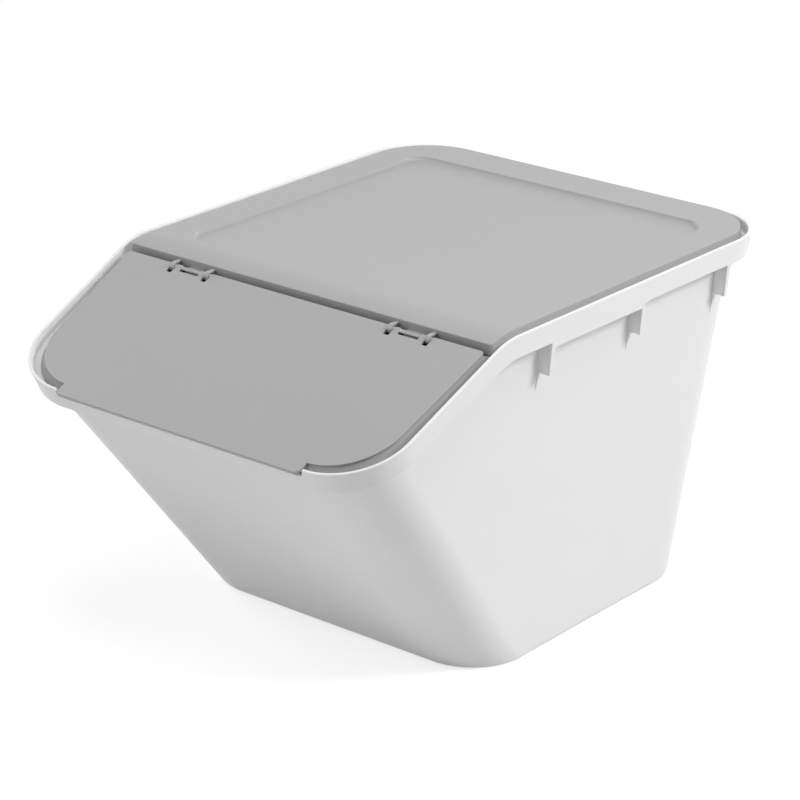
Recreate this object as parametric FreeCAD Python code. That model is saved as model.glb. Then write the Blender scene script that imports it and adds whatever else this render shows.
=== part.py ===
import FreeCAD, Part
import math
import os

# Front-access stacking bin: a moulded tub with a sloped mouth, a lift-off top lid
# that rests on a ledge inside the tub's lip, and a front flap that snaps on to the
# lid with four moulded hooks.  +X is right seen from the front, the front faces -Y,
# +Z is up, and the origin is on the floor in the middle of the overall box.

# Overall sizes, in millimetres and degrees
overall_width = 400.0
overall_depth = 536.0
rim_height = 310.5
slope_angle = 24.5
front_wall_angle = 37.5
tab_reach = 1.5
mouth_reach = 163.6
knee_radius = 72.0

# Tub: floor outline, walls and corner radii
base_width = 317.0
base_depth = 294.5
base_back_inset = 53.5
base_radius = 52.0
base_edge_radius = 5.0
wall_thickness = 2.5
floor_thickness = 2.5

# Rim: upstanding lip, sunk ledge and hanging skirt
rim_overhang = 12.4
rim_front_radius = 69.0
rim_back_radius = 64.0
lip_thickness = 2.8
skirt_height = 19.4
ledge_depth = 9.0
ledge_thickness = 2.5

# Gusset ribs under the skirt, and the deeper skirt between two of them as a grip
rib_thickness = 4.0
rib_first_setback = 314.5
rib_pitch = 120.7
rib_count = 3
rib_drop = 47.5
rib_tail_length = 17.5
rib_tail_reach = 2.5
rib_tail_root = 1.2
grip_drop = 4.7

# Top lid
lid_rise = 1.6
lid_wall = 2.2
lid_half_width_inset = 9.8
knee_to_lid_front = 10.6
lid_back_radius = 58.0
lid_front_radius = 3.0
lid_clearance = 1.0
lid_back_clearance = 1.7
seat_gap = 0.3
recess_depth = 3.3
recess_draft = 5.0
recess_side_margin = 34.8
recess_back_margin = 46.7
recess_front_margin = 36.0
recess_radius = 17.0

# Hinge: hooks on the lid round rod lengths of the flap
rod_radius = 1.9
rod_end_length = 6.0
rod_clearance = 0.35
hook_thickness = 1.95
hook_width = 4.0
hook_side_clearance = 0.8
hook_window_length = 6.6
hinge_gap = 3.6
station_spacing = 233.0
hook_spacing = 38.3
slot_length = 21.0
slot_width = 2.9
tongue_width = 16.0
tongue_thickness = 2.0

# Front flap
flap_drop = 1.1
flap_wall = 2.4
flap_side_inset = 8.0
flap_front_band = 5.8
flap_clearance = 1.0
flap_seat_gap = 0.5
flap_rear_reach = 1.2
flap_front_radius = 62.0
flap_front_top_radius = 56.0
flap_rear_radius = 4.0
tab_width = 257.4
tab_corner_radius = 5.0
tab_notch_clearance = 1.2
tab_lift = 0.4

# Length by which a cutting block runs past what it cuts
overrun = 20.0

# Places worked out from the sizes above
slope = math.radians(slope_angle)
half_width = overall_width / 2
rim_back = overall_depth / 2
tab_front = -overall_depth / 2
rim_front = tab_front + tab_reach
knee_y = tab_front + mouth_reach
front_height = rim_height - (knee_y - rim_front) * math.tan(slope)
knee_flat_y = knee_y + knee_radius * math.tan(slope / 2)
base_half = base_width / 2
base_back = rim_back - base_back_inset
base_front = base_back - base_depth
wall_half = half_width - rim_overhang
wall_back = rim_back - rim_overhang
wall_front = base_front - rim_height * math.tan(math.radians(front_wall_angle))
side_draft = (wall_half - base_half) / rim_height
back_draft = (wall_back - base_back) / rim_height
rim_floor = front_height - 2 * skirt_height
rib_bottom = rim_height - rib_drop
ribs_y = [rim_back - rib_first_setback + rib_pitch * number for number in range(rib_count)]
lid_top = rim_height + lid_rise
lid_floor = rim_height - 2 * ledge_depth
lid_front = knee_y - knee_to_lid_front
axis_y = lid_front - hinge_gap - rod_radius
axis_depth = flap_drop + flap_wall / 2
axis_z = rim_height + (axis_y - knee_y) * math.tan(slope) - axis_depth / math.cos(slope)
hook_inner = rod_radius + rod_clearance
hook_outer = hook_inner + hook_thickness
stations_x = [-station_spacing / 2, station_spacing / 2]
hooks_x = [station + end * hook_spacing / 2 for station in stations_x for end in (-1, 1)]


def point(x, y, z):
    """A corner of the model."""
    return FreeCAD.Vector(x, y, z)


def block(x_low, x_high, y_low, y_high, z_low, z_high):
    """A box between two corners."""
    corner = point(x_low, y_low, z_low)
    return Part.makeBox(x_high - x_low, y_high - y_low, z_high - z_low, corner)


def outline(front_half, back_half, front, back, front_radius, back_radius, height):
    """A closed flat outline with four rounded corners; the sides may narrow to one end."""
    lean = math.atan2(back_half - front_half, back - front)
    corners = []
    ends = ((front_half, front, front_radius, 1), (back_half, back, back_radius, -1))
    for half, end, radius, inward in ends:
        # The arc touches the end line and the leaning side line
        turn = math.pi / 2 + inward * lean
        reach = radius * math.tan(turn / 2)
        side_x = half + inward * reach * math.sin(lean)
        side_y = end + inward * reach * math.cos(lean)
        centre_x = half - reach
        centre_y = end + inward * radius
        middle = math.atan2(-inward * math.cos(turn / 2), math.sin(turn / 2))
        arc_x = centre_x + radius * math.cos(middle)
        arc_y = centre_y + radius * math.sin(middle)
        corners.append(((half - reach, end), (arc_x, arc_y), (side_x, side_y)))
    (f_end, f_mid, f_side), (b_end, b_mid, b_side) = corners

    def at(place, side=1):
        return point(side * place[0], place[1], height)

    edges = [
        Part.LineSegment(at(f_end, -1), at(f_end)),
        Part.Arc(at(f_end), at(f_mid), at(f_side)),
        Part.LineSegment(at(f_side), at(b_side)),
        Part.Arc(at(b_side), at(b_mid), at(b_end)),
        Part.LineSegment(at(b_end), at(b_end, -1)),
        Part.Arc(at(b_end, -1), at(b_mid, -1), at(b_side, -1)),
        Part.LineSegment(at(b_side, -1), at(f_side, -1)),
        Part.Arc(at(f_side, -1), at(f_mid, -1), at(f_end, -1)),
    ]
    return Part.Wire([edge.toShape() for edge in edges])


def drafted(lower, upper):
    """The straight-sided solid between two outlines."""
    return Part.makeLoft([lower, upper], True, True)


def wall_outline(height, inset):
    """The tub wall's outline at one height, moved in by a wall thickness."""
    share = height / rim_height
    front_inset = inset / math.cos(math.radians(front_wall_angle))
    half = base_half + side_draft * height - inset
    front = base_front + (wall_front - base_front) * share + front_inset
    back = base_back + back_draft * height - inset
    front_radius = base_radius + (rim_front_radius - rim_overhang - base_radius) * share - inset
    back_radius = base_radius + (rim_back_radius - rim_overhang - base_radius) * share - inset
    return outline(half, half, front, back, front_radius, back_radius, height)


def rim_half(height, inset):
    """Half the rim's width at one height."""
    return half_width - side_draft * (rim_height - height) - inset


def rim_end(height, inset):
    """The rim's back face at one height."""
    return rim_back - back_draft * (rim_height - height) - inset


def rim_outline(height, inset):
    """The rim's outline at one height: drafted sides, front square to the sloped mouth."""
    half = rim_half(height, inset)
    front = rim_front - (height - front_height) * math.tan(slope) + inset / math.cos(slope)
    back = rim_end(height, inset)
    return outline(half, half, front, back, rim_front_radius - inset, rim_back_radius - inset, height)


def below(depth):
    """Everything lower than the mouth's side profile moved down square to itself."""
    radius = knee_radius - depth
    centre_z = rim_height - knee_radius
    back_y = rim_back + overrun
    front_y = tab_front - overrun
    floor_z = -overrun

    def on_arc(angle):
        return point(-overall_width, knee_flat_y - radius * math.sin(angle), centre_z + radius * math.cos(angle))

    back_top = point(-overall_width, back_y, rim_height - depth)
    flat_end = on_arc(0)
    slope_start = on_arc(slope)
    front_z = slope_start.z - (slope_start.y - front_y) * math.tan(slope)
    front_top = point(-overall_width, front_y, front_z)
    front_floor = point(-overall_width, front_y, floor_z)
    back_floor = point(-overall_width, back_y, floor_z)
    edges = [
        Part.LineSegment(back_top, flat_end),
        Part.Arc(flat_end, on_arc(slope / 2), slope_start),
        Part.LineSegment(slope_start, front_top),
        Part.LineSegment(front_top, front_floor),
        Part.LineSegment(front_floor, back_floor),
        Part.LineSegment(back_floor, back_top),
    ]
    wire = Part.Wire([edge.toShape() for edge in edges])
    return Part.Face(wire).extrude(point(2 * overall_width, 0, 0))


def rounded_foot(solid, height, radius):
    """The solid with the edges at one height rounded."""
    edges = [edge for edge in solid.Edges if abs(edge.BoundBox.ZMax - height) + edge.BoundBox.ZLength < radius / 100]
    return solid.makeFillet(radius, edges)


def tub():
    """White tub: thin drafted walls, sunk ledge, lip and skirt, gusset ribs and grips."""
    shell = drafted(wall_outline(0, 0), wall_outline(rim_height, 0))
    outside = rounded_foot(shell, 0, base_edge_radius)
    hollow = drafted(wall_outline(floor_thickness, wall_thickness), wall_outline(rim_height, wall_thickness))
    hollow = rounded_foot(hollow, floor_thickness, base_edge_radius)
    rim_outside = drafted(rim_outline(rim_floor, 0), rim_outline(rim_height, 0))
    rim_inside = drafted(rim_outline(rim_floor, lip_thickness), rim_outline(rim_height, lip_thickness))
    lip_tube = rim_outside.cut(rim_inside)
    wall = outside.common(below(ledge_depth)).cut(hollow)
    ledge = rim_outside.cut(hollow).common(below(ledge_depth)).cut(below(ledge_depth + ledge_thickness))
    lip = lip_tube.common(below(0)).cut(below(skirt_height))

    # The lip steps down under the flap's tab
    notch_half = tab_width / 2 + tab_notch_clearance
    notch_depth = flap_drop + flap_wall + tab_lift
    notch_back = rim_front + rim_front_radius / 2
    notch = block(-notch_half, notch_half, tab_front - overrun, notch_back, 0, rim_height)
    lip = lip.cut(notch.cut(below(notch_depth)))

    # Grip: the skirt hangs lower between the first two ribs
    grip_top = rim_height - skirt_height
    grip_span = block(-overall_width, overall_width, ribs_y[0], ribs_y[1] + rib_thickness,
                      grip_top - grip_drop, grip_top)
    pieces = [ledge, lip, lip_tube.common(grip_span)]

    # Ribs close the space between wall and skirt, and run out down the wall in a thin tail
    tail_bottom = rib_bottom - rib_tail_length
    rib_space = rim_outside.cut(shell)
    for rib_y in ribs_y:
        rib_top = rim_height - ledge_depth - ledge_thickness / 2
        rib = block(-overall_width, overall_width, rib_y, rib_y + rib_thickness, rib_bottom, rib_top)
        pieces.append(rib_space.common(rib))
        for side in (-1, 1):
            high_x = base_half + side_draft * rib_bottom
            low_x = base_half + side_draft * tail_bottom
            corners = [
                point(side * (high_x - rib_tail_root), rib_y, rib_bottom),
                point(side * (high_x + rib_tail_reach), rib_y, rib_bottom),
                point(side * low_x, rib_y, tail_bottom),
                point(side * (low_x - rib_tail_root), rib_y, tail_bottom),
            ]
            tail = Part.Face(Part.makePolygon(corners + corners[:1]))
            pieces.append(tail.extrude(point(0, rib_thickness, 0)))
    return wall.fuse(pieces).removeSplitter()


def lid_outline(height, inset):
    """The lid's outline: sides flare down to the lip, back close to the lip, front square."""
    share = (lid_top - height) / (lid_top - lid_floor)
    top_half = half_width - lid_half_width_inset
    foot_half = rim_half(lid_floor, lip_thickness + lid_clearance)
    half = top_half + (foot_half - top_half) * share - inset
    back = rim_end(height, lip_thickness + lid_back_clearance) - inset
    return outline(half, half, lid_front + inset, back, lid_front_radius, lid_back_radius - inset, height)


def recess_outline(height, grow):
    """The stacking seat's outline on the lid, opening out a little towards the top."""
    half = half_width - lid_half_width_inset - recess_side_margin + grow
    front = lid_front + recess_front_margin - grow
    back = rim_end(lid_top, lip_thickness + lid_back_clearance) - recess_back_margin + grow
    radius = recess_radius + grow
    return outline(half, half, front, back, radius, radius, height)


def hook(centre_x):
    """One hook: an arm from the lid's front face that curls over the rod and down in front of it."""
    left = centre_x - hook_width / 2
    right = centre_x + hook_width / 2
    start = point(left, axis_y, axis_z)
    along = point(1, 0, 0)
    ring = Part.makeCylinder(hook_outer, hook_width, start, along)
    ring = ring.cut(Part.makeCylinder(hook_inner, hook_width, start, along))
    ring = ring.cut(block(left, right, axis_y, axis_y + overrun, axis_z - overrun, axis_z + overrun))
    arm = block(left, right, axis_y, lid_front + lid_wall / 2, axis_z + hook_inner, axis_z + hook_outer)
    return ring.fuse(arm)


def tongue(centre_x):
    """The bracket between two hooks that keeps the rod up and forward."""
    left = centre_x - tongue_width / 2
    right = centre_x + tongue_width / 2
    root_y = lid_front + lid_wall / 2
    shelf_top = axis_z - hook_inner
    shelf = block(left, right, axis_y, root_y, shelf_top - tongue_thickness, shelf_top)
    stop = block(left, right, axis_y + hook_inner, root_y, shelf_top - tongue_thickness, axis_z)
    return shelf.fuse(stop)


def top_lid():
    """Grey lid: a shallow shell that bends down over the knee, with a stacking seat on top."""
    inner_top = lid_rise - lid_wall
    body = drafted(lid_outline(lid_floor, 0), lid_outline(lid_top, 0))
    body = body.common(below(-lid_rise)).cut(below(ledge_depth - seat_gap))
    hollow = drafted(lid_outline(lid_floor, lid_wall), lid_outline(lid_top, lid_wall))
    hollow = hollow.common(below(-inner_top))
    seat_floor = lid_top - recess_depth
    seat = drafted(recess_outline(seat_floor, 0), recess_outline(lid_top, recess_draft))
    panel_floor = seat_floor - lid_wall
    panel = drafted(recess_outline(panel_floor, lid_wall), recess_outline(lid_top, lid_wall + recess_draft))
    lid = body.cut(hollow.cut(panel)).cut(seat)
    hooks = [hook(centre_x) for centre_x in hooks_x]
    tongues = [tongue(centre_x) for centre_x in stations_x]
    return lid.fuse(hooks + tongues).removeSplitter()


def flap_half(reach, level, inset):
    """Half the flap's width, from the lip beside it, at a distance in front of the hinge."""
    height = axis_z - reach * math.sin(slope) + level * math.cos(slope)
    return rim_half(height, lip_thickness + inset)


def front_flap():
    """Grey flap: a shallow tray with a finger tab and rod lengths, laid on the sloped mouth."""
    top = flap_wall / 2
    foot = axis_depth - ledge_depth + flap_seat_gap
    under = top - flap_wall
    # Distances from the hinge down the slope to the lip, the tray's edges and the tab
    lip_reach = (axis_y - axis_depth * math.sin(slope) - rim_front) / math.cos(slope) - lip_thickness
    foot_reach = lip_reach - flap_clearance
    top_reach = foot_reach - flap_front_band
    tab_tip = (axis_y - top * math.sin(slope) - tab_front) / math.cos(slope)

    def tray(inset, rear, floor):
        levels = ((floor, foot_reach, flap_clearance, flap_front_radius),
                  (top, top_reach, flap_side_inset, flap_front_top_radius))
        wires = []
        for level, reach, side_inset, radius in levels:
            front_half = flap_half(reach, level, side_inset) - inset
            rear_half = flap_half(-rear, level, side_inset) - inset
            wires.append(outline(front_half, rear_half, inset - reach, rear, radius - inset,
                                 flap_rear_radius, level))
        return drafted(*wires)

    body = tray(0, flap_rear_reach, foot)
    hollow = tray(flap_wall, flap_rear_reach + overrun, foot)
    room = block(-overall_width, overall_width, -overall_depth, overall_depth, foot, under)
    flap = body.cut(hollow.common(room))

    # Finger tab
    tab_half = tab_width / 2
    tab_root = flap_front_band - top_reach
    tab = outline(tab_half, tab_half, -tab_tip, tab_root, tab_corner_radius, flap_wall / 2, under)
    flap = flap.fuse(Part.Face(tab).extrude(point(0, 0, flap_wall)))

    # Windows for the hooks and a slot between each pair leave a rod along the rear edge
    for hook_x in hooks_x:
        gap = hook_width / 2 + hook_side_clearance
        reach = rod_radius + hook_window_length
        flap = flap.cut(block(hook_x - gap, hook_x + gap, -reach, overrun, foot, top + flap_wall))
    rods = []
    rod_length = hook_spacing + 2 * rod_end_length
    for station_x in stations_x:
        slot = block(station_x - slot_length / 2, station_x + slot_length / 2,
                     -rod_radius - slot_width, overrun, foot, top + flap_wall)
        flap = flap.cut(slot)
        start = point(station_x - rod_length / 2, 0, 0)
        rods.append(Part.makeCylinder(rod_radius, rod_length, start, point(1, 0, 0)))
    flap = flap.fuse(rods).removeSplitter()
    flap.rotate(point(0, 0, 0), point(1, 0, 0), slope_angle)
    flap.translate(point(0, axis_y, axis_z))
    return flap


os.makedirs("parts", exist_ok=True)
for name, piece in (("tub", tub()), ("top_lid", top_lid()), ("front_flap", front_flap())):
    solid = piece.Solids[0]
    box = solid.BoundBox
    print(name, "solids", len(piece.Solids), "valid", solid.isValid(), "volume", round(solid.Volume),
          "x", round(box.XMin, 2), round(box.XMax, 2), "y", round(box.YMin, 2), round(box.YMax, 2),
          "z", round(box.ZMin, 2), round(box.ZMax, 2))
    solid.exportStep("parts/" + name + ".step")
print("hinge axis y", round(axis_y, 3), "z", round(axis_z, 3))
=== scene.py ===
import bmesh
import bpy
import numpy as np
from mathutils import Matrix


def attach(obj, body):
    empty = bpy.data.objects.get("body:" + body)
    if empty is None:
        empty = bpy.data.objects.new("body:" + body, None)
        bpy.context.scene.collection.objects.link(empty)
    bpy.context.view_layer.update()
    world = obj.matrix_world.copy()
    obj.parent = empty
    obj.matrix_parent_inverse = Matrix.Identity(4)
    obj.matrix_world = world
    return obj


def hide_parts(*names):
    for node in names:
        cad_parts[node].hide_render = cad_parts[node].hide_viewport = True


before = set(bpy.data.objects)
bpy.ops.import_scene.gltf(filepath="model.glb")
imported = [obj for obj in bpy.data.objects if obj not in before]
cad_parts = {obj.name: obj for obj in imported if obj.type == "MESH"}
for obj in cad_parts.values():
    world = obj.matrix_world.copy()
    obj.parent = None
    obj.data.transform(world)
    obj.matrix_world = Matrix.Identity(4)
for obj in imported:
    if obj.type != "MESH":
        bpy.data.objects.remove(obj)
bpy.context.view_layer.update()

# Tub
# White polypropylene in one injection moulding. Thin drafted walls rise from a flat base to a sunk
# ledge; outside the ledge stands a lip, and from the lip a skirt hangs down outside the walls.
# The skirt is deeper as a finger grip between the first two ribs on each side.
MM = 0.001
tiny = 1e-9
half_width = 200.0
rim_front = -266.5
rim_back = 268.0
rim_height = 310.5
slope = np.radians(24.5)
knee_y = -104.4
knee_radius = 72.0
knee_flat_y = knee_y + knee_radius * np.tan(slope / 2)
knee_centre_z = rim_height - knee_radius
front_height = rim_height - (knee_y - rim_front) * np.tan(slope)
base_half = 158.5
base_front = -80.0
base_back = 214.5
base_radius = 52.0
rim_overhang = 12.4
rim_front_radius = 61.0
rim_back_radius = 60.0
wall_front_radius = 56.6
wall_back_radius = 51.6
front_lean = np.radians(37.5)
side_draft = (half_width - rim_overhang - base_half) / rim_height
back_draft = (rim_back - rim_overhang - base_back) / rim_height
wall_thickness = 2.5
floor_thickness = 2.5
lip_thickness = 2.8
skirt_height = 19.4
ledge_depth = 9.0
ledge_thickness = 2.5
grip_drop = 4.7
rib_thickness = 4.0
rib_fronts = (-46.5, 74.2, 194.9)
rib_drop = 47.5
rib_fillet = 4.5
notch_half = 130.8
notch_depth = 7.2
notch_blend = 1.0
notch_zone = -200.0
side_zone_half = 150.0
side_zone_front = -130.0
rim_line_low = 262.0
cap_share = 0.5

# Places of the points round the mouth: close together at the tab's notch, the knee and the ribs
front_share = np.concatenate([np.linspace(0, 0.97, 30), np.linspace(0.975, 0.9985, 15)])
front_turn = np.radians(np.arange(0, 90, 1.6))
front_run = np.linspace(0, 1, 8, endpoint=False)
lead_length = 60.0
side_start = -170.0
side_end = 201.1
side_pitch = 3.1
rib_steps = np.array([-0.8, -0.06, 0.06, 0.8, 2.0, 3.2, 3.94, 4.06, 4.5, 5.0, 5.6, 6.1])
rib_places = [front + rib_steps for front in rib_fronts]
knee_places = np.arange(-122, -84, 1.3)
fillet_places = np.arange(-40, -36, 0.8)
even_places = np.arange(side_start, side_end, side_pitch)
side_y = np.concatenate([even_places, knee_places, fillet_places, *rib_places])
side_y = np.unique(np.round(side_y, 2))
side_y = side_y[side_y < side_end]
back_share = np.linspace(0, 1, 36, endpoint=False)
back_middle = np.linspace(0, 1, 20)


def loop(half, front, back, front_radius, back_radius, height, spread=False):
    """Points round a rectangle with rounded corners: the right half runs from the front's middle
    through corner, side and corner to the back's middle, and is mirrored for the left half.
    Side points keep fixed places along Y, or are spread over the straight run in proportion."""
    side_front = front + front_radius
    side_back = back - back_radius
    lead = side_front + (side_y[0] - side_front) * front_run
    side = np.concatenate([lead, side_y])
    if spread:
        even = np.concatenate([front_run * lead_length, side_y - side_y[0] + lead_length])
        side = side_front + (side_back - side_front) * even / even[-1]
    first = np.arcsin(np.clip((side[-1] - side_back) / back_radius, 0, 1))
    back_turn = first + (np.pi / 2 - first) * back_share
    x = np.concatenate([
        (half - front_radius) * front_share,
        half - front_radius + front_radius * np.sin(front_turn),
        np.full(len(side), half),
        half - back_radius + back_radius * np.cos(back_turn),
        (half - back_radius) * (1 - back_middle)])
    y = np.concatenate([
        np.full(len(front_share), front),
        front + front_radius - front_radius * np.cos(front_turn),
        side,
        side_back + back_radius * np.sin(back_turn),
        np.full(len(back_middle), back)])
    right = np.stack([x, y, np.full(len(x), height)], 1)
    return np.concatenate([right, right[-2:0:-1] * (-1, 1, 1)])


def wall_loop(height, inset, spread=False):
    """The tub wall's outline at a height: every size runs straight from the base to the rim."""
    share = height / rim_height
    return loop(base_half + side_draft * height - inset,
                base_front - height * np.tan(front_lean) + inset / np.cos(front_lean),
                base_back + back_draft * height - inset,
                base_radius + (wall_front_radius - base_radius) * share - inset,
                base_radius + (wall_back_radius - base_radius) * share - inset,
                height, spread)


def rim_loop(height, inset):
    """The rim's outline at a height: sides and back drafted as the walls, front square to the slope."""
    return loop(half_width - side_draft * (rim_height - height) - inset,
                rim_front - (height - front_height) * np.tan(slope) + inset / np.cos(slope),
                rim_back - back_draft * (rim_height - height) - inset,
                rim_front_radius - inset, rim_back_radius - inset, height)


def mouth_depth(y, z):
    """How far a point lies below the mouth's side profile, square to it: the flat rim behind the
    knee, a circle round the knee's centre, and the sloped plane in front of it."""
    ahead = knee_flat_y - y
    above = z - knee_centre_z
    turn = np.clip(np.arctan2(ahead, above), 0.0, slope)
    return knee_radius - (ahead * np.sin(turn) + above * np.cos(turn))


def between(start, end, share):
    """Points part of the way along the straight lines from start to end."""
    return start + (end - start) * share


def meet(low, high, depth, rounds=60, damping=0.8):
    """The point of each straight line from low to high that lies at a depth below the mouth's
    profile, found by moving along the line by a part of the error that is left, many times."""
    share = np.ones(len(low))
    for _ in range(rounds):
        spot = between(low, high, share[:, None])
        error = mouth_depth(spot[:, 1], spot[:, 2]) - depth
        share = share + damping * error / (high[:, 2] - low[:, 2])
    return between(low, high, share[:, None])


def rounded(before, corner, after, radius, steps=4, hold=0.6):
    """Rows that round one corner of a section: a circle arc that touches both sides, and a row a
    little way out along each side, so that the sides stay flat up to the arc."""
    arc_limit, hold_limit, turn_limit = 0.42, 0.47, 0.9999
    back = before - corner
    ahead = after - corner
    back_length = np.maximum(np.linalg.norm(back, axis=1, keepdims=True), tiny)
    ahead_length = np.maximum(np.linalg.norm(ahead, axis=1, keepdims=True), tiny)
    back = back / back_length
    ahead = ahead / ahead_length
    half = 0.5 * np.arccos(np.clip((back * ahead).sum(1, keepdims=True), -turn_limit, turn_limit))
    reach = np.minimum(radius / np.tan(half), arc_limit * np.minimum(back_length, ahead_length))
    weight = np.sin(half)
    start = corner + back * reach
    end = corner + ahead * reach
    rows = [corner + back * np.minimum(reach + hold, hold_limit * back_length)]
    for share in np.linspace(0, 1, steps + 1):
        first = (1 - share) ** 2
        middle = 2 * share * (1 - share) * weight
        last = share ** 2
        rows.append((first * start + middle * corner + last * end) / (first + middle + last))
    rows.append(corner + ahead * np.minimum(reach + hold, hold_limit * ahead_length))
    return rows


def section_rows(corners, radii, fills):
    """Rows of a whole section: each inner corner rounded, with some straight rows after it that
    close up towards the next corner."""
    rows = []
    for number in range(1, len(corners) - 1):
        rows += rounded(corners[number - 1], corners[number], corners[number + 1], radii[number - 1])
        if fills[number - 1]:
            following = rounded(corners[number], corners[number + 1], corners[number + 2], radii[number])[0]
            for share in np.linspace(0, 1, fills[number - 1] + 2)[1:-1]:
                rows.append(between(rows[-1], following, share))
    return rows


def skin(name, rows, smooth=True):
    """A closed surface over rows of points round a loop: quads between neighbouring rows, flat
    caps on the first and last row, and all faces turned outwards by the sign of the volume."""
    grid = np.stack(rows)
    count, around = grid.shape[:2]
    points = grid.reshape(-1, 3) * MM
    index = np.arange(count * around).reshape(count, around)
    after = np.roll(index, -1, axis=1)
    quads = np.stack([index[:-1], after[:-1], after[1:], index[1:]], -1).reshape(-1, 4)
    a, b, c, d = (points[quads[:, corner]] for corner in range(4))
    volume = (np.cross(a, b) * c).sum() + (np.cross(a, c) * d).sum()
    for ring, sign in ((points[index[0]], -1), (points[index[-1]], 1)):
        fan = np.cross(ring - ring[0], np.roll(ring, -1, 0) - ring[0]) @ ring[0]
        volume += sign * fan.sum()
    faces = quads.tolist() + [index[0][::-1].tolist(), index[-1].tolist()]
    if volume < 0:
        faces = [face[::-1] for face in faces]
    mesh = bpy.data.meshes.new(name)
    mesh.from_pydata(points.tolist(), [], faces)
    clean = bmesh.new()
    clean.from_mesh(mesh)
    merge_distance = 1e-7
    bmesh.ops.remove_doubles(clean, verts=clean.verts, dist=merge_distance)
    clean.to_mesh(mesh)
    clean.free()
    mesh.polygons.foreach_set("use_smooth", np.full(len(mesh.polygons), smooth))
    mesh.update()
    piece = bpy.data.objects.new(name, mesh)
    bpy.context.scene.collection.objects.link(piece)
    return piece


def skirt_depth(place):
    """Depth of the skirt's lower edge along a side: deeper between the first two ribs, down to the
    foot of each rib at the rib, with a quarter circle behind it."""
    grip = (place > rib_fronts[0]) & (place < rib_fronts[1] + rib_thickness)
    depth = skirt_height + grip_drop * grip
    for front in rib_fronts:
        past = place - front - rib_thickness
        curve = rib_fillet - np.sqrt(np.maximum(rib_fillet ** 2 - (rib_fillet - past) ** 2, 0))
        depth = depth + np.where((past > 0) & (past < rib_fillet), curve, 0)
        depth = np.where((place > front) & (past < 0), rib_drop, depth)
    return depth


# Straight lines that run up the rim and the walls, outside and inside; the mouth's profile cuts them
rim_outer = (rim_loop(rim_line_low, 0), rim_loop(rim_height, 0))
rim_inner = (rim_loop(rim_line_low, lip_thickness), rim_loop(rim_height, lip_thickness))
wall_outer = (wall_loop(0, 0), wall_loop(rim_height, 0))
wall_inner = (wall_loop(0, wall_thickness), wall_loop(rim_height, wall_thickness))
rim_top = meet(*rim_outer, 0.0)
notch_share = np.clip((notch_half + notch_blend / 2 - np.abs(rim_top[:, 0])) / notch_blend, 0, 1)
in_notch = notch_share * (rim_top[:, 1] < notch_zone)
lip_drop = notch_depth * in_notch ** 2 * (3 - 2 * in_notch)
on_side = (np.abs(rim_top[:, 0]) > side_zone_half) & (rim_top[:, 1] > side_zone_front)
on_side = on_side & (rim_top[:, 1] < side_end)
hang = np.where(on_side, skirt_depth(rim_top[:, 1]), skirt_height)
base_loop = wall_loop(0, 0, True)
floor_loop = wall_loop(floor_thickness, wall_thickness, True)
base_middle = np.array([0, (base_front + base_back) / 2, 0])
floor_middle = base_middle + (0, 0, floor_thickness)

# The section's corners, from the floor up the inside, over the lip, round the skirt and down to the base
tub_corners = [
    between(floor_loop, floor_middle, cap_share),
    floor_loop,
    meet(*wall_inner, ledge_depth),
    meet(*rim_inner, ledge_depth),
    meet(*rim_inner, lip_drop),
    meet(*rim_outer, lip_drop),
    meet(*rim_outer, hang),
    meet(*rim_inner, hang),
    meet(*rim_inner, ledge_depth + ledge_thickness),
    meet(*wall_outer, ledge_depth + ledge_thickness),
    base_loop,
    between(base_loop, base_middle, cap_share),
]
tub_radii = [5.0, 0.8, 0.8, 0.9, 0.9, 0.6, 0.6, 1.0, 1.5, 5.0]
tub_fills = [6, 0, 0, 0, 0, 0, 0, 0, 8, 0]
tub = skin("tub_shell", section_rows(tub_corners, tub_radii, tub_fills))
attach(tub, "tub_body")
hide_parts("tub")


def moulded_plastic(name, colour, drift, roughness, grain):
    """Moulded polypropylene: a nearly even colour that drifts a little over the piece, roughness
    that varies in soft patches, and the fine spark-eroded grain of the mould as bump."""
    material = bpy.data.materials.new(name)
    material.use_nodes = True
    nodes, links = material.node_tree.nodes, material.node_tree.links
    shader = nodes["Principled BSDF"]
    place = nodes.new("ShaderNodeTexCoord")
    clouds = nodes.new("ShaderNodeTexNoise")
    clouds.inputs["Scale"].default_value = 7.0
    clouds.inputs["Detail"].default_value = 3.0
    tint = nodes.new("ShaderNodeMix")
    tint.data_type = "RGBA"
    tint.inputs["A"].default_value = (*(value * (1 - drift) for value in colour), 1)
    tint.inputs["B"].default_value = (*(value * (1 + drift) for value in colour), 1)
    links.new(place.outputs["Object"], clouds.inputs["Vector"])
    links.new(clouds.outputs["Fac"], tint.inputs["Factor"])
    links.new(tint.outputs["Result"], shader.inputs["Base Color"])
    patches = nodes.new("ShaderNodeTexNoise")
    patches.inputs["Scale"].default_value = 55.0
    patches.inputs["Detail"].default_value = 4.0
    spread = nodes.new("ShaderNodeMapRange")
    swing = 0.05
    spread.inputs["To Min"].default_value = roughness - swing
    spread.inputs["To Max"].default_value = roughness + swing
    links.new(place.outputs["Object"], patches.inputs["Vector"])
    links.new(patches.outputs["Fac"], spread.inputs["Value"])
    links.new(spread.outputs["Result"], shader.inputs["Roughness"])
    speckle = nodes.new("ShaderNodeTexNoise")
    speckle.inputs["Scale"].default_value = 1100.0
    speckle.inputs["Detail"].default_value = 2.0
    bump = nodes.new("ShaderNodeBump")
    bump.inputs["Strength"].default_value = grain
    bump.inputs["Distance"].default_value = 0.0002
    links.new(place.outputs["Object"], speckle.inputs["Vector"])
    links.new(speckle.outputs["Fac"], bump.inputs["Height"])
    links.new(bump.outputs["Normal"], shader.inputs["Normal"])
    shader.inputs["IOR"].default_value = 1.49
    return material


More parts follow.
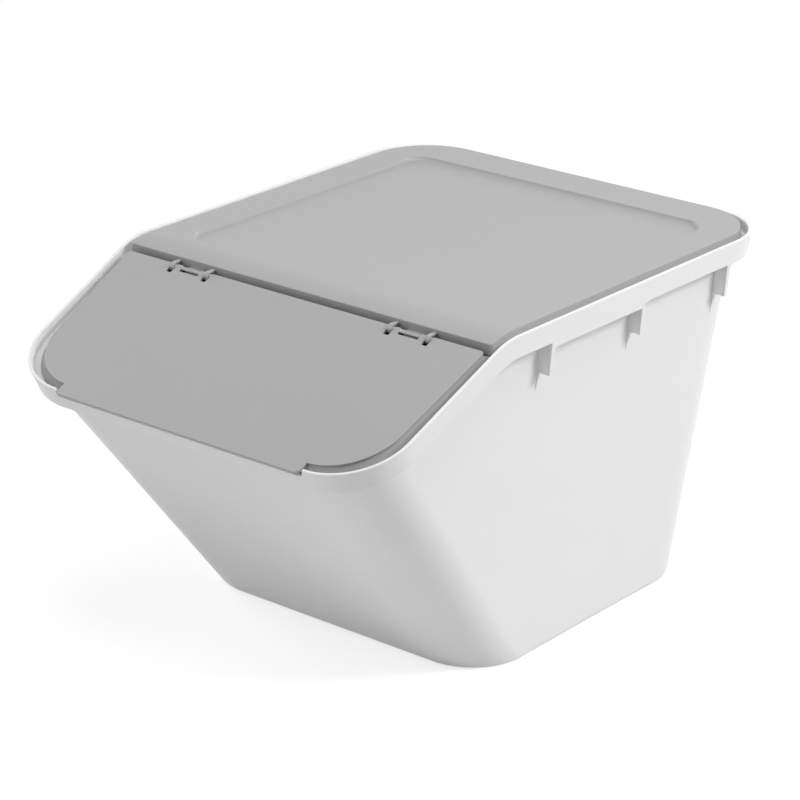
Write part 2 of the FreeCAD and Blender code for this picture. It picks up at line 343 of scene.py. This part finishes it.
white_plastic = moulded_plastic("white_polypropylene", colour=(0.83, 0.83, 0.825), drift=0.012,
                                roughness=0.42, grain=0.06)
tub.data.materials.append(white_plastic)

# Rib webs
# Thin gussets between wall and skirt, moulded in one with the white tub, that stiffen the rim. Each one
# ends in a narrow tail that runs out on the wall. The outer strip of the rib is part of the skirt.
rib_tail_length = 17.5
rib_tail_reach = 2.5
rib_tail_end = 0.05
rib_head = 300.0
rib_step = 0.2
rib_into_wall = 1.0
rib_into_skirt = 0.8
rib_side_gap = 0.03
plate_bevel = 0.25


def inset_path(path, distance):
    """A closed flat path moved inwards: each point goes along the mean of its two edges' normals,
    further at a sharp corner so that both edges move by the same distance."""
    edge = np.roll(path, -1, 0) - path
    edge = edge / np.maximum(np.linalg.norm(edge, axis=1, keepdims=True), tiny)
    normal = np.stack([-edge[:, 1], edge[:, 0]], 1)
    before = np.roll(normal, 1, 0)
    sharpest = 0.4
    overlap = np.maximum(1 + (normal * before).sum(1, keepdims=True), sharpest)
    return path + (normal + before) / overlap * distance


def plate_rows(path, start, end, edge):
    """A flat path carried straight from start to end, with its edges broken by a small bevel.
    Rows hold the path's two coordinates and the place along the run."""
    small = inset_path(path, edge)
    rows = [(inset_path(path, edge * 2), start), (small, start), (path, start + edge),
            (path, end - edge), (small, end), (inset_path(path, edge * 2), end)]
    return [np.column_stack([flat, np.full(len(flat), place)]) for flat, place in rows]


rib_tail = rim_height - rib_drop - rib_tail_length
rib_turn = rim_height - rib_drop + rib_step
web_z = np.array([rib_tail, rib_tail, rib_turn, rib_turn, rib_head, rib_head])
wall_x = base_half + side_draft * web_z
skirt_x = half_width - side_draft * (rim_height - web_z) - lip_thickness + rib_into_skirt
web_x = np.array([wall_x[0] - rib_into_wall, wall_x[1] + rib_tail_end, wall_x[2] + rib_tail_reach,
                  skirt_x[3], skirt_x[4], wall_x[5] - rib_into_wall])
web_path = np.stack([web_x, web_z], 1)
for number, rib_front in enumerate(rib_fronts):
    rib_back = rib_front + rib_thickness
    web_rows = plate_rows(web_path, rib_front + rib_side_gap, rib_back - rib_side_gap, plate_bevel)
    for side, label in ((1, "right"), (-1, "left")):
        web = [np.stack([side * row[:, 0], row[:, 2], row[:, 1]], 1) for row in web_rows]
        rib = skin(f"rib_web_{label}_{number + 1}", web, smooth=False)
        rib.data.materials.append(white_plastic)
        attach(rib, "tub_body")

# Top lid
# Grey polypropylene shell that lies in the rim on the ledge and lifts off. Its top follows the rim
# over the knee and ends in an upright front face; a sunk panel on top takes the next bin's base.
lid_rise = 1.6
lid_wall = 2.2
lid_half = 190.2
lid_front = -115.0
lid_clearance = 1.0
lid_back_clearance = 1.7
lid_back_gap = lip_thickness + lid_back_clearance
lid_back_radius = 58.0
lid_front_radius = 3.0
lid_front_lean = 0.1
lid_top = rim_height + lid_rise
lid_floor = rim_height - 2 * ledge_depth
lid_foot_half = half_width - side_draft * (rim_height - lid_floor) - lip_thickness - lid_clearance
seat_gap = 0.3
seat_half = 160.4
seat_front = -84.0
seat_back = 221.8
seat_radius = 22.0
seat_depth = 3.3
seat_fillet = 4.2
seat_cap_inset = 6.0
seat_hold = 0.8
seat_edge_round = 0.7
seat_edge_hold = 0.3
seat_edge_reach = 3.0
seat_under_share = 0.5
lid_edge_round = 0.8
lid_foot_round = 0.5
lid_under_round = 1.2


def lid_loop(height, inset):
    """The lid's outline at a height: sides flare out downwards, back follows the lip, front leans
    back a little below its top edge."""
    share = (lid_top - height) / (lid_top - lid_floor)
    return loop(lid_half + (lid_foot_half - lid_half) * share - inset,
                lid_front + lid_front_lean * (lid_top - height) + inset,
                rim_back - back_draft * (rim_height - height) - lid_back_gap - inset,
                lid_front_radius, lid_back_radius - inset, height, True)


def seat_loop(grow, height):
    """The sunk panel's outline, moved outwards by an amount."""
    return loop(seat_half + grow, seat_front - grow, seat_back + grow,
                seat_radius + grow, seat_radius + grow, height, True)


def over_knee(points, rise):
    """Points set on the mouth's profile raised square to itself: flat, then a circle over the knee."""
    ahead = np.maximum(knee_flat_y - points[:, 1], 0)
    height = knee_centre_z + np.sqrt((knee_radius + rise) ** 2 - ahead ** 2)
    return np.column_stack([points[:, :2], height])


lid_outer = (lid_loop(lid_floor, 0), lid_loop(lid_top, 0))
lid_inner = (lid_loop(lid_floor, lid_wall), lid_loop(lid_top, lid_wall))
lid_edge = meet(*lid_outer, -lid_rise)
lid_foot = meet(*lid_outer, ledge_depth - seat_gap)
lid_foot_inner = meet(*lid_inner, ledge_depth - seat_gap)
lid_under_edge = meet(*lid_inner, lid_wall - lid_rise)
seat_floor = lid_top - seat_depth
seat_tangent = -np.sqrt(seat_fillet ** 2 - (seat_fillet - seat_depth) ** 2)
seat_turns = np.linspace(0, np.arccos(1 - seat_depth / seat_fillet), 9)
seat_edge = seat_loop(0, lid_top)
seat_outside = over_knee(seat_loop(seat_edge_reach, lid_top), lid_rise)
under_rise = lid_rise - lid_wall
under_seat = over_knee(seat_loop(lid_wall, lid_top), under_rise)
top_shares = np.linspace(0.03, 0.97, 20)
under_shares = np.linspace(0.08, 1.0, 12)

# Rows from the seat's floor up its fillet, over the top, down the outside and back below the top
lid_rows = [seat_loop(seat_tangent - seat_cap_inset, seat_floor),
            seat_loop(seat_tangent - seat_hold, seat_floor)]
for turn in seat_turns[:-1]:
    lid_rows.append(seat_loop(seat_tangent + seat_fillet * np.sin(turn),
                              seat_floor + seat_fillet * (1 - np.cos(turn))))
seat_turn = rounded(lid_rows[-1], seat_edge, seat_outside, seat_edge_round, steps=3, hold=seat_edge_hold)
lid_rows += seat_turn[1:]
for share in top_shares:
    lid_rows.append(over_knee(between(seat_edge, lid_edge, share), lid_rise))
lid_rows += rounded(lid_rows[-1], lid_edge, lid_foot, lid_edge_round)[1:]
lid_rows += rounded(lid_edge, lid_foot, lid_foot_inner, lid_foot_round)
lid_rows += rounded(lid_foot, lid_foot_inner, lid_under_edge, lid_foot_round)
lid_rows += rounded(lid_foot_inner, lid_under_edge, under_seat, lid_under_round)
for share in under_shares:
    lid_rows.append(over_knee(between(lid_under_edge, under_seat, share), under_rise))
lid_rows.append(seat_loop(lid_wall + seat_tangent * seat_under_share, seat_floor - lid_wall))
lid_rows.append(seat_loop(seat_tangent - seat_cap_inset, seat_floor - lid_wall))
lid = skin("lid_shell", lid_rows)
grey_plastic = moulded_plastic("grey_polypropylene", colour=(0.38, 0.38, 0.38), drift=0.02,
                               roughness=0.40, grain=0.08)
lid.data.materials.append(grey_plastic)
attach(lid, "lid_body")
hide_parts("top_lid")

# Hinge hooks and brackets
# Four slim hooks, moulded in one with the grey lid on its front face, arch over the flap's rods and
# drop through windows in the flap. Between two hooks a small bracket keeps the rod up and forward.
hinge_y = -120.5
hinge_z = 300.635
rod_radius = 1.9
hook_inner = 2.25
hook_thickness = 1.95
hook_width = 4.0
hook_edge = 0.5
arm_steps = 5
root_overlap = 1.0
stations = (-116.5, 116.5)
hook_offset = 19.15
bracket_half = 8.0
bracket_thickness = 2.0


def bar_section(height, width, edge, steps=3):
    """Points round a rectangle with rounded edges: height along the first axis, width along the second."""
    turns = np.linspace(0, np.pi / 2, steps + 1)
    corners = []
    for quarter, (sign_a, sign_b) in enumerate(((1, 1), (-1, 1), (-1, -1), (1, -1))):
        angle = turns + quarter * np.pi / 2
        corners.append(np.stack([sign_a * (height / 2 - edge) + edge * np.cos(angle),
                                 sign_b * (width / 2 - edge) + edge * np.sin(angle)], 1))
    return np.concatenate(corners)


hook_middle = hook_inner + hook_thickness / 2
hook_turns = np.linspace(np.pi / 2, -np.pi / 2, 20)
arm_root = lid_front + lid_front_lean * (lid_top - hinge_z - hook_inner) + root_overlap
arm = np.linspace(arm_root, hinge_y, arm_steps + 1)[:-1]
arm_z = np.full(arm_steps, hinge_z + hook_middle)
hook_y = np.concatenate([arm, hinge_y - hook_middle * np.cos(hook_turns)])
hook_z = np.concatenate([arm_z, hinge_z + hook_middle * np.sin(hook_turns)])
hook_out_y = np.concatenate([np.zeros(arm_steps), -np.cos(hook_turns)])
hook_out_z = np.concatenate([np.ones(arm_steps), np.sin(hook_turns)])
hook_bar = bar_section(hook_thickness, hook_width, hook_edge)
hook_rise, hook_across = hook_bar[:, 0], hook_bar[:, 1]
shelf_top = hinge_z - hook_inner
shelf_under = shelf_top - bracket_thickness
bracket_root = lid_front + lid_front_lean * (lid_top - shelf_top) + root_overlap
bracket_path = np.array([
    (hinge_y, shelf_under), (bracket_root, shelf_under), (bracket_root, hinge_z),
    (hinge_y + hook_inner, hinge_z), (hinge_y + hook_inner, shelf_top), (hinge_y, shelf_top)])
for station, label in zip(stations, ("left", "right")):
    ends = ("outer", "inner") if station < 0 else ("inner", "outer")
    for side, end in zip((-1, 1), ends):
        centre = station + side * hook_offset
        hook_rows = [np.stack([centre + hook_across, y + out_y * hook_rise, z + out_z * hook_rise], 1)
                     for y, z, out_y, out_z in zip(hook_y, hook_z, hook_out_y, hook_out_z)]
        hook = skin(f"hinge_hook_{label}_{end}", hook_rows)
        hook.data.materials.append(grey_plastic)
        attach(hook, "lid_body")
    bracket_rows = plate_rows(bracket_path, station - bracket_half, station + bracket_half, plate_bevel)
    bracket = skin(f"hinge_bracket_{label}", [row[:, (2, 0, 1)] for row in bracket_rows], smooth=False)
    bracket.data.materials.append(grey_plastic)
    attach(bracket, "lid_body")

# Front flap
# Grey polypropylene tray over the sloped mouth, hung on the lid's hooks. A flat panel with a sloped
# band down to the ledge on three sides, a wide finger tab at the front, and windows and slots
# along its rear edge that leave a rod at each hinge place.
flap_wall = 2.4
flap_drop = 1.1
flap_clearance = 1.0
flap_side_inset = 8.0
flap_front_band = 5.8
flap_seat_gap = 0.5
panel_top = flap_wall / 2
panel_under = -flap_wall / 2
axis_depth = flap_drop + flap_wall / 2
flap_foot = axis_depth - ledge_depth + flap_seat_gap
lip_reach = (hinge_y - axis_depth * np.sin(slope) - rim_front) / np.cos(slope) - lip_thickness
foot_reach = lip_reach - flap_clearance
top_reach = foot_reach - flap_front_band
tab_front = -268.0
tab_tip = (hinge_y - panel_top * np.sin(slope) - tab_front) / np.cos(slope)
tab_half = 128.7
tab_corner = 5.0
tab_side_start = tab_corner + 0.4
front_radius_top = 56.0
front_radius_foot = 62.0
foot_bend = 116.0
rear_reach = 2.2
rear_corner = 4.0
comb_lead = 12.0
comb_turn = 0.8
rod_end_length = 6.0
window_half = 2.8
window_reach = 8.5
slot_half = 10.5
slot_reach = 4.8
tab_steps = 12
tab_side_steps = 5
side_steps = 40
turn_steps = 8
comb_steps = 4


def beside_lip(reach, level, inset):
    """Half the width between the lips at a distance down the slope from the hinge, less an inset."""
    height = hinge_z - reach * np.sin(slope) + level * np.cos(slope)
    return half_width - side_draft * (rim_height - height) - lip_thickness - inset


def arc(centre, radius, start, end, steps):
    """Points of a circle arc between two angles in degrees."""
    angle = np.radians(np.linspace(start, end, steps))
    return np.array(centre) + radius * np.stack([np.cos(angle), np.sin(angle)], 1)


def straight(start, end, steps):
    """Evenly spaced points of a straight run, without its last point."""
    share = np.linspace(0, 1, steps, endpoint=False)[:, None]
    return np.array(start) + (np.array(end) - np.array(start)) * share


# Right half of the panel's edge from the tab's middle to the rear middle, and the skirt's foot below it
top_front_half = beside_lip(top_reach, panel_top, flap_side_inset)
top_rear_half = beside_lip(-rear_reach, panel_top, flap_side_inset)
foot_front_half = beside_lip(foot_reach, flap_foot, flap_clearance)
foot_rear_half = beside_lip(-rear_reach, flap_foot, flap_clearance)
lean = np.degrees(np.arctan2(top_rear_half - top_front_half, top_reach + rear_reach))
top_centre = np.array([top_front_half - front_radius_top, front_radius_top - top_reach])
foot_centre = np.array([foot_front_half - front_radius_foot, front_radius_foot - foot_reach])
arc_start = -90 + np.degrees(np.arcsin((tab_half - top_centre[0]) / front_radius_top))
corner_top = arc(top_centre, front_radius_top, arc_start, -lean, side_steps)
corner_foot = arc(foot_centre, front_radius_foot, arc_start, -lean, side_steps)
tab_edge = np.concatenate([
    straight((0, -tab_tip), (tab_half - tab_corner, -tab_tip), tab_steps),
    arc((tab_half - tab_corner, tab_corner - tab_tip), tab_corner, -90, 0, turn_steps),
    straight((tab_half, tab_side_start - tab_tip), corner_top[0], tab_side_steps)])
tab_foot = np.concatenate([
    straight((0, -foot_reach), (foot_bend, -foot_reach), tab_steps),
    straight((foot_bend, -foot_reach), corner_foot[0], turn_steps + tab_side_steps)])
side_share = np.linspace(0, 1, side_steps)[1:, None]
side_top = between(corner_top[-1], np.array([top_rear_half, rear_reach - rear_corner]), side_share)
side_foot = between(corner_foot[-1], np.array([foot_rear_half, rear_reach - rear_corner]), side_share)
rear_top_centre = (top_rear_half - rear_corner, rear_reach - rear_corner)
rear_foot_centre = (foot_rear_half - rear_corner, rear_reach - rear_corner)
rear_turn_top = arc(rear_top_centre, rear_corner, 0, 90, turn_steps)[1:]
rear_turn_foot = arc(rear_foot_centre, rear_corner, 0, 90, turn_steps)[1:]

# The comb of windows and slot along the right half of the rear edge
comb_first = stations[1] + hook_offset + rod_end_length
comb_last = stations[1] - hook_offset - rod_end_length
comb = [straight((top_rear_half - comb_lead, rear_reach), (comb_first, rear_reach), turn_steps)]
for middle, half, depth in ((stations[1] + hook_offset, window_half, window_reach),
                            (stations[1], slot_half, slot_reach),
                            (stations[1] - hook_offset, window_half, window_reach)):
    right, left = middle + half, middle - half
    comb += [arc((right + comb_turn, rear_reach - comb_turn), comb_turn, 90, 180, comb_steps),
             arc((right - comb_turn, comb_turn - depth), comb_turn, 0, -90, comb_steps),
             arc((left + comb_turn, comb_turn - depth), comb_turn, -90, -180, comb_steps),
             arc((left - comb_turn, rear_reach - comb_turn), comb_turn, 0, 90, comb_steps)]
rear_run = straight((comb_last, rear_reach), (0, rear_reach), 2 * turn_steps)
rear_edge = np.concatenate([*comb, rear_run, [(0, rear_reach)]])
half_top = np.concatenate([tab_edge, corner_top, side_top, rear_turn_top, rear_edge])
half_foot = np.concatenate([tab_foot, corner_foot, side_foot, rear_turn_foot, rear_edge])
is_tab = np.arange(len(half_top)) < len(tab_edge)
is_rear = np.arange(len(half_top)) >= len(half_top) - len(rear_edge)


def mirrored(values):
    """A right half followed by its left half back to the start."""
    flip = (-1, 1) if values.ndim == 2 else 1
    return np.concatenate([values, values[-2:0:-1] * flip])


edge_top = mirrored(half_top)
edge_foot = mirrored(half_foot)
tab_part = mirrored(is_tab.astype(float))[:, None] > 0.5
rear_part = mirrored(is_rear.astype(float))[:, None] > 0.5
band_share = flap_wall / (panel_top - flap_foot)
tab_line = np.stack([edge_foot[:, 0], np.full(len(edge_foot), -top_reach)], 1)
band_line = np.where(tab_part, tab_line, edge_top)
band_under = between(band_line, edge_foot, band_share)


def level(flat, height):
    """Flat points at a level above or below the rod's axis."""
    return np.column_stack([flat, np.full(len(flat), height)])


# Rows from the panel's top over its thin edge, under the edge to the band, down to the foot and back up
# inside the band to the panel's underside. The tab hangs over and leans in; the rear edge is plain.
flat_inset = 0.65
round_inset = 0.45
edge_round = 0.35
edge_hold = 0.2
edge_depth = 1.1
edge_step = 0.1
neck_depth = 2.1
neck_inset = 1.3
tab_tuck = 1.6
rear_tuck = 0.3
rear_under_inset = 0.6
foot_thickness = 2.3
under_inset = 2.7
tab_under_inset = under_inset + 1.4
cap_hold = 0.12
edge_low_hold = 0.86
tuck_hold = 0.8
neck_hold = 0.15
foot_hold = 0.94
foot_flat = 0.15
edge_corner = level(edge_top, panel_top)
edge_foot_level = np.where(tab_part | rear_part, panel_under, panel_top - edge_depth)
edge_low = np.column_stack([edge_top, edge_foot_level])
tab_under = level(inset_path(edge_top, tab_tuck), panel_under)
rear_under = level(inset_path(edge_top, rear_tuck), panel_under)
neck_line = inset_path(edge_top, neck_inset)
neck_top = level(neck_line, panel_top - edge_depth - edge_step)
neck_foot = level(neck_line, panel_top - neck_depth)
tuck = np.where(tab_part, tab_under, np.where(rear_part, rear_under, neck_top))
neck = np.where(tab_part, level(band_under, panel_under), np.where(rear_part, rear_under, neck_foot))
foot_level = np.where(rear_part, panel_under, flap_foot)
foot_out = np.column_stack([np.where(rear_part, tuck[:, :2], edge_foot), foot_level])
foot_inside = inset_path(edge_foot, foot_thickness)
foot_in = np.column_stack([np.where(rear_part, tuck[:, :2], foot_inside), foot_level])
under_side = np.where(tab_part, inset_path(band_under, tab_under_inset), inset_path(edge_top, under_inset))
under_line = np.where(rear_part, inset_path(edge_top, rear_under_inset), under_side)
under_in = level(under_line, panel_under)
flat_ring = level(inset_path(edge_top, flat_inset), panel_top)
round_start = level(inset_path(edge_top, round_inset), panel_top)
flap_rows = [flat_ring]
flap_rows += rounded(round_start, edge_corner, edge_low, edge_round, hold=edge_hold)[1:]
flap_rows.append(between(edge_corner, edge_low, edge_low_hold))
tab_low = between(edge_corner, tuck, tuck_hold)
neck_start = between(edge_low, tuck, neck_hold)
flap_rows.append(np.where(tab_part, tab_low, neck_start))
flap_rows += [tuck, neck]
flap_rows.append(between(neck, foot_out, foot_hold))
flap_rows.append(between(foot_out, foot_in, foot_flat))
flap_rows.append(between(foot_out, foot_in, 1 - foot_flat))
flap_rows.append(between(foot_in, under_in, 1 - foot_hold))
flap_rows.append(under_in)
flap_rows.append(level(inset_path(under_line, cap_hold), panel_under))


def on_slope(points):
    """Points beside the rod's axis turned by the slope and set in their place on the bin."""
    turned_y = points[:, 1] * np.cos(slope) - points[:, 2] * np.sin(slope)
    turned_z = points[:, 1] * np.sin(slope) + points[:, 2] * np.cos(slope)
    return np.stack([points[:, 0], hinge_y + turned_y, hinge_z + turned_z], 1)


flap = skin("flap_tray", [on_slope(row) for row in flap_rows])
flap.data.materials.append(grey_plastic)
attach(flap, "flap_body")
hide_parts("front_flap")

# Hinge rods
# A rod along the flap's rear edge at each hinge place, moulded in one with the grey flap: round in the
# windows, where the hooks hold it, and flattened where it runs into the panel between them.
rod_half = hook_offset + rod_end_length
rod_flat = 1.15
rod_tip = 0.5
rod_blend = 0.3
rod_points = 28
rod_turn = np.linspace(0, 2 * np.pi, rod_points, endpoint=False)
window_outer = hook_offset + window_half
window_inner = hook_offset - window_half
rod_half_run = np.array([0, window_inner, window_inner + rod_blend, window_outer - rod_blend, window_outer,
                         rod_half, rod_half])
rod_half_tall = np.array([rod_flat, rod_flat, rod_radius, rod_radius, rod_flat, rod_flat, rod_tip])
rod_run = np.concatenate([-rod_half_run[:0:-1], rod_half_run])
rod_tall = np.concatenate([rod_half_tall[:0:-1], rod_half_tall])
rod_deep = np.minimum(rod_radius, rod_tall * 2)
for station, label in zip(stations, ("left", "right")):
    rod_rows = []
    for x, tall, deep in zip(rod_run, rod_tall, rod_deep):
        ring = [np.full(rod_points, station + x), deep * np.cos(rod_turn), tall * np.sin(rod_turn)]
        rod_rows.append(on_slope(np.stack(ring, 1)))
    rod = skin(f"hinge_rod_{label}", rod_rows)
    rod.data.materials.append(grey_plastic)
    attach(rod, "flap_body")

# Floor
# A plain pale studio floor, matt, a hair below the base. It lights the bin from below as a grey floor
# does. Where it is seen it keeps the bin's shadow and runs out to white further away.
floor_half = 6.0
floor_level = -0.0004
floor_bounce = 0.68
floor_seen = 0.65
floor_glow = 0.6
white_from = 0.45
white_at = 1.1


def seen_rays(nodes, links):
    """A value that is 1 for rays from the camera, a reflection or glass, and 0 for all others."""
    rays = nodes.new("ShaderNodeLightPath")
    mirrored_too = nodes.new("ShaderNodeMath")
    mirrored_too.operation = "MAXIMUM"
    glass_too = nodes.new("ShaderNodeMath")
    glass_too.operation = "MAXIMUM"
    links.new(rays.outputs["Is Camera Ray"], mirrored_too.inputs[0])
    links.new(rays.outputs["Is Glossy Ray"], mirrored_too.inputs[1])
    links.new(mirrored_too.outputs[0], glass_too.inputs[0])
    links.new(rays.outputs["Is Transmission Ray"], glass_too.inputs[1])
    return glass_too.outputs[0]


floor_corners = np.array([(-1, -1), (1, -1), (1, 1), (-1, 1)]) * floor_half
floor_points = np.column_stack([floor_corners, np.full(4, floor_level)])
floor_mesh = bpy.data.meshes.new("floor")
floor_mesh.from_pydata(floor_points.tolist(), [], [(0, 1, 2, 3)])
floor = bpy.data.objects.new("floor", floor_mesh)
bpy.context.scene.collection.objects.link(floor)
pale_floor = bpy.data.materials.new("pale_floor")
pale_floor.use_nodes = True
floor_nodes, floor_links = pale_floor.node_tree.nodes, pale_floor.node_tree.links
floor_nodes.remove(floor_nodes["Principled BSDF"])
bounce = floor_nodes.new("ShaderNodeBsdfDiffuse")
bounce.inputs["Color"].default_value = (floor_bounce, floor_bounce, floor_bounce, 1)
shadowed = floor_nodes.new("ShaderNodeBsdfDiffuse")
shadowed.inputs["Color"].default_value = (floor_seen, floor_seen, floor_seen, 1)
glow = floor_nodes.new("ShaderNodeEmission")
glow.inputs["Strength"].default_value = floor_glow
near_floor = floor_nodes.new("ShaderNodeAddShader")
floor_links.new(shadowed.outputs[0], near_floor.inputs[0])
floor_links.new(glow.outputs[0], near_floor.inputs[1])
far_floor = floor_nodes.new("ShaderNodeEmission")
far_floor.inputs["Strength"].default_value = 1.0
place = floor_nodes.new("ShaderNodeTexCoord")
distance = floor_nodes.new("ShaderNodeVectorMath")
distance.operation = "LENGTH"
run_out = floor_nodes.new("ShaderNodeMapRange")
run_out.interpolation_type = "SMOOTHSTEP"
run_out.inputs["From Min"].default_value = white_from
run_out.inputs["From Max"].default_value = white_at
seen_floor = floor_nodes.new("ShaderNodeMixShader")
floor_links.new(place.outputs["Object"], distance.inputs[0])
floor_links.new(distance.outputs["Value"], run_out.inputs["Value"])
floor_links.new(run_out.outputs["Result"], seen_floor.inputs["Fac"])
floor_links.new(near_floor.outputs[0], seen_floor.inputs[1])
floor_links.new(far_floor.outputs[0], seen_floor.inputs[2])
either_floor = floor_nodes.new("ShaderNodeMixShader")
floor_links.new(seen_rays(floor_nodes, floor_links), either_floor.inputs["Fac"])
floor_links.new(bounce.outputs[0], either_floor.inputs[1])
floor_links.new(seen_floor.outputs[0], either_floor.inputs[2])
floor_links.new(either_floor.outputs[0], floor_nodes["Material Output"].inputs["Surface"])
floor_mesh.materials.append(pale_floor)

# Room
# An even pale room round the bin. It gives a little light from all sides, and is plain white where it
# is seen.
room_light = 0.2
world = bpy.data.worlds.new("studio")
bpy.context.scene.world = world
world.use_nodes = True
room_nodes, room_links = world.node_tree.nodes, world.node_tree.links
room_nodes.clear()
room_out = room_nodes.new("ShaderNodeOutputWorld")
dim_room = room_nodes.new("ShaderNodeBackground")
dim_room.inputs["Color"].default_value = (1, 1, 1, 1)
dim_room.inputs["Strength"].default_value = room_light
white_room = room_nodes.new("ShaderNodeBackground")
white_room.inputs["Color"].default_value = (1, 1, 1, 1)
white_room.inputs["Strength"].default_value = 1.0
either_room = room_nodes.new("ShaderNodeMixShader")
room_links.new(seen_rays(room_nodes, room_links), either_room.inputs["Fac"])
room_links.new(dim_room.outputs[0], either_room.inputs[1])
room_links.new(white_room.outputs[0], either_room.inputs[2])
room_links.new(either_room.outputs[0], room_out.inputs["Surface"])

# Soft boxes
# Five square studio lights round the bin. The strongest stands to the right and a little behind, so
# that the right side is the brightest; the others fill in from above, the front, the left and the back.
bin_middle = (0, 0, 0.15)
top_middle = (0, -0.05, 0.25)


def facing(place, away):
    """Place and turn of a lamp or camera that looks against a direction and stands upright: its axes
    are the level line across that direction, the line square to both, and the direction itself."""
    away = away / np.linalg.norm(away)
    across = np.cross((0, 0, 1.0), away)
    across = across / np.linalg.norm(across)
    axes = np.stack([across, np.cross(away, across), away, place], 1)
    return Matrix([*axes.tolist(), (0, 0, 0, 1)])


def soft_box(name, place, aim, size, power):
    """A square studio light at a place, turned to face a point."""
    lamp = bpy.data.lights.new(name, "AREA")
    lamp.size = size
    lamp.energy = power
    box = bpy.data.objects.new(name, lamp)
    box.matrix_world = facing(place, np.array(place) - np.array(aim))
    bpy.context.scene.collection.objects.link(box)


soft_box("soft_right", (1.9, 0.8, 1.7), bin_middle, size=0.8, power=34.5)
soft_box("soft_top", (0.5, -0.35, 2.0), top_middle, size=1.2, power=14.5)
soft_box("soft_front", (-1.0, -2.2, 1.45), bin_middle, size=1.4, power=18.0)
soft_box("soft_left", (-2.2, 0.1, 0.9), bin_middle, size=1.2, power=13.0)
soft_box("soft_back", (0.4, 2.4, 0.8), bin_middle, size=1.2, power=12.0)

# Camera
# A long lens in front of the bin, to its right and above it: where the photograph was taken from, worked
# out from the bin's straight edges.
azimuth = np.radians(39.77)
elevation = np.radians(21.445)
camera_place = (1.54137, -1.84567, 1.12454)
camera_away = np.array([np.sin(azimuth) * np.cos(elevation), -np.cos(azimuth) * np.cos(elevation),
                        np.sin(elevation)])
camera_data = bpy.data.cameras.new("camera")
camera_data.sensor_width = 36.0
camera_data.lens = 138.58
camera_data.clip_start = 0.05
camera_data.clip_end = 60.0
camera = bpy.data.objects.new("camera", camera_data)
camera.matrix_world = facing(camera_place, camera_away)
bpy.context.scene.collection.objects.link(camera)
bpy.context.scene.camera = camera
bpy.context.scene.view_settings.view_transform = "Standard"
